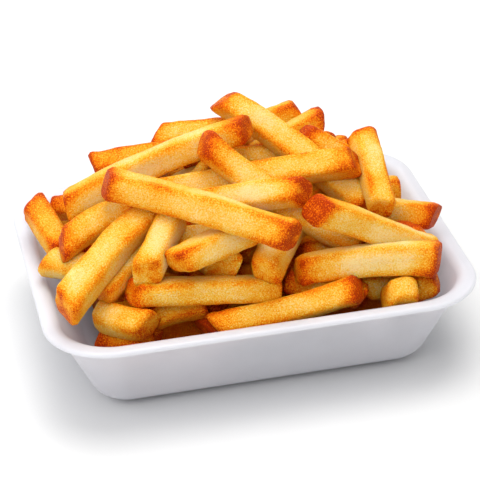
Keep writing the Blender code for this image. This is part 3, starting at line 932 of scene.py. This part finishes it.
# %% The grain as a node group
GROUP_INPUTS = (
    ("Grain Size", "NodeSocketFloat", 1800.0),
    ("Blotch Size", "NodeSocketFloat", 120.0),
)
GROUP_OUTPUTS = (("Grain", "NodeSocketFloat"), ("Blotch", "NodeSocketFloat"))
FINE_NOISE = {"Detail": 2.0, "Roughness": 0.6}
BROAD_NOISE = {"Detail": 2.0}


def new_group(name, inputs, outputs):
    """A shader group with named sockets."""
    group = bpy.data.node_groups.new(name, "ShaderNodeTree")
    for label, kind, value in inputs:
        socket = group.interface.new_socket(label, in_out="INPUT", socket_type=kind)
        socket.default_value = value
    for label, kind in outputs:
        group.interface.new_socket(label, in_out="OUTPUT", socket_type=kind)
    return group


def grain_group():
    """Fine grains and soft blotches, which the crust and the foam both use."""
    group = new_group("pitted_grain", GROUP_INPUTS, GROUP_OUTPUTS)
    nodes, links = group.nodes, group.links
    enter = nodes.new("NodeGroupInput")
    leave = nodes.new("NodeGroupOutput")
    place = nodes.new("ShaderNodeTexCoord")
    fine = nodes.new("ShaderNodeTexNoise")
    fill_in(fine, FINE_NOISE)
    broad = nodes.new("ShaderNodeTexNoise")
    fill_in(broad, BROAD_NOISE)
    links.new(place.outputs["Object"], fine.inputs["Vector"])
    links.new(place.outputs["Object"], broad.inputs["Vector"])
    links.new(enter.outputs["Grain Size"], fine.inputs["Scale"])
    links.new(enter.outputs["Blotch Size"], broad.inputs["Scale"])
    links.new(fine.outputs["Fac"], leave.inputs["Grain"])
    links.new(broad.outputs["Fac"], leave.inputs["Blotch"])
    return group


PITTED_GRAIN = grain_group()
print("group:", PITTED_GRAIN.name)

# %% The crust material
# Grains vary the tone by GRAIN_TONE, and by more the more toasted the crust is.
GRAIN_TONE = 0.6
GRAIN_ON_TOAST = 1.9
BLOTCH_TONE = 0.2
CRUST_BUMP = {"Strength": 0.9, "Distance": 0.0008}
CRUST_SURFACE = {
    "Roughness": 0.46,
    "Specular IOR Level": 0.06,
    "Subsurface Weight": 0.45,
    "Subsurface Radius": (1.0, 0.4, 0.1),
    "Subsurface Scale": 0.004,
}
# Painted shade: the deep fries' crust is browner by this even amount, for the fries' shade over
# them.
DEEP_PAINTED_SHADE = 0.22
# Painted shade: the core's crust is browner still, for the deep shade in the gaps.
CORE_PAINTED_SHADE = 0.62


def blend(tree, kind, *values):
    """A Math node, whose values are numbers or other nodes' sockets."""
    node = tree.nodes.new("ShaderNodeMath")
    node.operation = kind
    for socket, value in zip(node.inputs, values):
        if isinstance(value, float):
            socket.default_value = value
        else:
            tree.links.new(value, socket)
    return node.outputs["Value"]


def bumped(tree, height, values):
    """A Bump node's normal for the surface, from a height."""
    bump = tree.nodes.new("ShaderNodeBump")
    fill_in(bump, values)
    tree.links.new(height, bump.inputs["Height"])
    return bump.outputs["Normal"]


def browned(tree, toast, grain, painted_shade):
    """The toasting with grains and blotches, plus an even amount of painted shade."""
    off_middle = blend(tree, "SUBTRACT", grain.outputs["Grain"], 0.5)
    amount = blend(tree, "MULTIPLY_ADD", toast, GRAIN_ON_TOAST, GRAIN_TONE)
    speckle = blend(tree, "MULTIPLY", off_middle, amount)
    blotch = grain.outputs["Blotch"]
    patch = blend(tree, "MULTIPLY_ADD", blotch, BLOTCH_TONE, -BLOTCH_TONE / 2)
    speckled = blend(tree, "ADD", toast, speckle)
    patched = blend(tree, "ADD", speckled, patch)
    return blend(tree, "ADD", patched, painted_shade)


def crust_material(name, painted_shade):
    """Golden crust browned by the toast attribute, plus even painted shade."""
    material = bpy.data.materials.new(name)
    material.use_nodes = True
    tree = material.node_tree
    surface = tree.nodes["Principled BSDF"]
    toast = tree.nodes.new("ShaderNodeAttribute")
    toast.attribute_name = "toast"
    grain = tree.nodes.new("ShaderNodeGroup")
    grain.node_tree = PITTED_GRAIN
    brown = browned(tree, toast.outputs["Fac"], grain, painted_shade)
    ramp = tree.nodes.new("ShaderNodeValToRGB")
    stops = ramp.color_ramp.elements
    while len(stops) < len(CRUST_STOPS):
        stops.new(0.5)
    for stop, (place, colour) in zip(stops, CRUST_STOPS):
        stop.position = place
        stop.color = (*linear(colour), 1.0)
    tree.links.new(brown, ramp.inputs["Fac"])
    tree.links.new(ramp.outputs["Color"], surface.inputs["Base Color"])
    normal = bumped(tree, grain.outputs["Grain"], CRUST_BUMP)
    tree.links.new(normal, surface.inputs["Normal"])
    fill_in(surface, CRUST_SURFACE)
    return material


CRUST = crust_material("fried_crust", 0.0)
# The deep fries' crust carries painted shade.
DEEP_SHADED_CRUST = crust_material("deep_shaded_crust", DEEP_PAINTED_SHADE)
print("materials:", CRUST.name, DEEP_SHADED_CRUST.name)

# %% Make all the fries
shown_piece = pile_of("fries_in_front", range(len(SHOWN_FRIES)), CRUST)
deep_start = len(SHOWN_FRIES) + LOOSE_FRIES
loose_piece = pile_of("fries_behind", range(len(SHOWN_FRIES), deep_start), CRUST)
deep_piece = pile_of("fries_deep_down", range(deep_start, len(fries)), DEEP_SHADED_CRUST)

# %% [markdown]
# ## The core
#
# Under the outer fries lie more that nobody sees. Real fries there would only cost
# triangles, so a plain mound stands in for them, a little under the fries and clear of
# the tray. Its crust is browner, as painted shade for the deep gaps. Its skin is drawn
# out of one ring of edges, level by level, and the tray is made in the same way.

# %% A rounded rectangle, and a skin drawn out of rings


def outline(inset, z, steps):
    """The tray's rounded rectangle at one inset and height in mm, as points in metres."""
    side_x = TRAY_LENGTH / 2 - inset
    side_y = TRAY_WIDTH / 2 - inset
    radius = max(RIM_CORNER - inset * CORNER_TIGHTENING, LEAST_CORNER)
    ring = []
    for quarter in range(4):
        cx = (side_x - radius) * (1, -1, -1, 1)[quarter]
        cy = (side_y - radius) * (1, 1, -1, -1)[quarter]
        for step in range(steps + 1):
            angle = math.pi / 2 * (quarter + step / steps)
            x = cx + radius * math.cos(angle)
            y = cy + radius * math.sin(angle)
            ring.append(Vector((x * MM, y * MM, z * MM)))
    return ring


def edges_between(edit, verts):
    """The edges that join a ring of vertices."""
    return [edit.edges.get(pair) for pair in zip(verts[-1:] + verts[:-1], verts)]


def sort_faces(edit):
    """Puts faces in the order of their vertices, as extruding makes them in any order."""
    edit.verts.index_update()
    count = len(edit.verts)

    def order(face):
        numbers = [vert.index for vert in face.verts]
        return min(numbers) * count + max(numbers)

    edit.faces.sort(key=order)


def lofted(rings):
    """A closed skin: the first ring is a face, and its edge is drawn out ring by ring."""
    edit = bmesh.new()
    verts = [edit.verts.new(point) for point in rings[0]]
    edit.faces.new(verts[::-1])
    for ring in rings[1:]:
        edge_loop = edges_between(edit, verts)
        made = bmesh.ops.extrude_edge_only(edit, edges=edge_loop)["geom"]
        above = {}
        for new in made:
            if isinstance(new, bmesh.types.BMVert):
                linked = [edge.other_vert(new) for edge in new.link_edges]
                below = next(vert for vert in linked if vert in verts)
                above[below] = new
        verts = [above[vert] for vert in verts]
        for vert, point in zip(verts, ring):
            vert.co = point
    edit.faces.new(verts)
    sort_faces(edit)
    bmesh.ops.recalc_face_normals(edit, faces=edit.faces)
    return edit


print("a coarse outline of the rim has", len(outline(0.0, TRAY_HEIGHT, 2)), "points")

# %% Make the core
CORE_CORNER_STEPS = 8
CORE_LOWER = 5.0


def core_rings():
    """The mound under the fries, from the tray's floor up."""
    rings = []
    for level, off in CORE_SIDE:
        inset = float(reach_inside(level)) + off
        rings.append(outline(inset, level, CORE_CORNER_STEPS))
    top = rings[-1]
    for shrink in CORE_SHRINK:
        ring = []
        for x, y, _ in top:
            height = core_height(x * shrink / MM, y * shrink / MM) - CORE_LOWER
            height = max(height, level + CORE_LEAST_RISE)
            ring.append(Vector((x * shrink, y * shrink, height * MM)))
        rings.append(ring)
    return rings


# Painted shade: the core's crust is browner by an even amount, for the gaps' deep shade.
shaded = crust_material("shaded_crust", CORE_PAINTED_SHADE)
core = piece_from(lofted(core_rings()), "fries_underneath", shaded)
print("core:", len(core.data.polygons), "faces")

# %% [markdown]
# ## The tray
#
# The tray is pressed from thin white foam: a flat foot, walls that slope out, and a
# rounded lip. A Solidify modifier on an open box could give the wall, but not the lip.
# So the outline is drawn out ring by ring along the wall's profile, over the lip and
# back down inside, with finer rings than the solid has.

# %% The wall's profile
FOOT_STEPS = 14
UNDER_LIP_STEPS = 5
LIP_STEPS = 6
INNER_LIP_STEPS = 8


def rounded(path):
    """Rounds the corners of an open path of (inset, z, radius, steps)."""
    found = [(path[0][0], path[0][1])]
    for before, here, after in zip(path, path[1:], path[2:]):
        corner = np.array(here[:2])
        back = np.array(before[:2]) - corner
        ahead = np.array(after[:2]) - corner
        back /= np.linalg.norm(back)
        ahead /= np.linalg.norm(ahead)
        opening = math.acos(float(np.clip(back @ ahead, -1.0, 1.0)))
        tangent = here[2] / math.tan(opening / 2)
        centre = corner + (back + ahead) * (here[2] / math.sin(opening))
        start = corner + back * tangent - centre
        end = corner + ahead * tangent - centre
        sweep = math.pi - opening
        for step in range(here[3] + 1):
            share = step / here[3]
            one = math.sin(sweep * (1 - share)) / math.sin(sweep)
            two = math.sin(sweep * share) / math.sin(sweep)
            found.append(tuple(centre + start * one + end * two))
    found.append((path[-1][0], path[-1][1]))
    return found


def tray_profile():
    """The wall from the middle of the foot, out over the lip and back to the floor."""
    under_lip = TRAY_HEIGHT - LIP_THICKNESS
    inner_foot = FOOT_INSET + WALL * math.hypot(1.0, WALL_SLOPE)
    inner_lip = inner_foot - TRAY_HEIGHT * WALL_SLOPE
    inner_floor = inner_foot - WALL * WALL_SLOPE
    return rounded(
        (
            (FOOT_MIDDLE, 0.0, 0, 0),
            (FOOT_INSET, 0.0, FOOT_FILLET, FOOT_STEPS),
            (LIP_REACH, under_lip, UNDER_LIP_ROUND, UNDER_LIP_STEPS),
            (0.0, under_lip, LIP_ROUND, LIP_STEPS),
            (0.0, TRAY_HEIGHT, LIP_ROUND, LIP_STEPS),
            (inner_lip, TRAY_HEIGHT, INNER_LIP_ROUND, INNER_LIP_STEPS),
            (inner_floor, WALL, FOOT_FILLET - WALL, FOOT_STEPS),
            (FOOT_MIDDLE, WALL, 0, 0),
        )
    )


print("the profile has", len(tray_profile()), "points")

# %% The foam material
FOAM_COLOURS = ("#C2C3CB", "#CACBD3")
FOAM_GRAIN = {"Grain Size": 1400.0, "Blotch Size": 90.0}
FOAM_BUMP = {"Strength": 0.12, "Distance": 0.0002}
FOAM_SURFACE = {
    "Roughness": 0.42,
    "Subsurface Weight": 0.8,
    "Subsurface Radius": (1.0, 1.0, 1.0),
    "Subsurface Scale": 0.012,
}

# A Mix node's colour sockets go by number, since its other kinds have the same names.
MIX_FACTOR = 0
MIX_COLOURS = (6, 7)
MIX_RESULT = 2


def foam_material():
    """White foam with a soft sheen, a faint lilac cast and very fine pits."""
    material = bpy.data.materials.new("white_foam")
    material.use_nodes = True
    tree = material.node_tree
    surface = tree.nodes["Principled BSDF"]
    grain = tree.nodes.new("ShaderNodeGroup")
    grain.node_tree = PITTED_GRAIN
    fill_in(grain, FOAM_GRAIN)
    tone = tree.nodes.new("ShaderNodeMix")
    tone.data_type = "RGBA"
    for socket, colour in zip(MIX_COLOURS, FOAM_COLOURS):
        tone.inputs[socket].default_value = (*linear(colour), 1.0)
    tree.links.new(grain.outputs["Blotch"], tone.inputs[MIX_FACTOR])
    tree.links.new(tone.outputs[MIX_RESULT], surface.inputs["Base Color"])
    normal = bumped(tree, grain.outputs["Grain"], FOAM_BUMP)
    tree.links.new(normal, surface.inputs["Normal"])
    fill_in(surface, FOAM_SURFACE)
    return material


FOAM = foam_material()
print("material:", FOAM.name)

# %% Make the tray
TRAY_CORNER_STEPS = 20
tray_rings = [outline(inset, z, TRAY_CORNER_STEPS) for inset, z in tray_profile()]
tray_piece = piece_from(lofted(tray_rings), "foam_tray", FOAM)
print("tray:", len(tray_piece.data.polygons), "faces")

# %% [markdown]
# ## Hand the pieces to the frame
#
# Each piece rides on the one body. The three piles of fries and the core stand for the
# fused heap, and the finer tray for the plain one.

# %% Ride and replace
for piece in (shown_piece, loose_piece, deep_piece, core):
    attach(piece, "root")
    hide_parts("fries")
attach(tray_piece, "root")
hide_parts("tray")
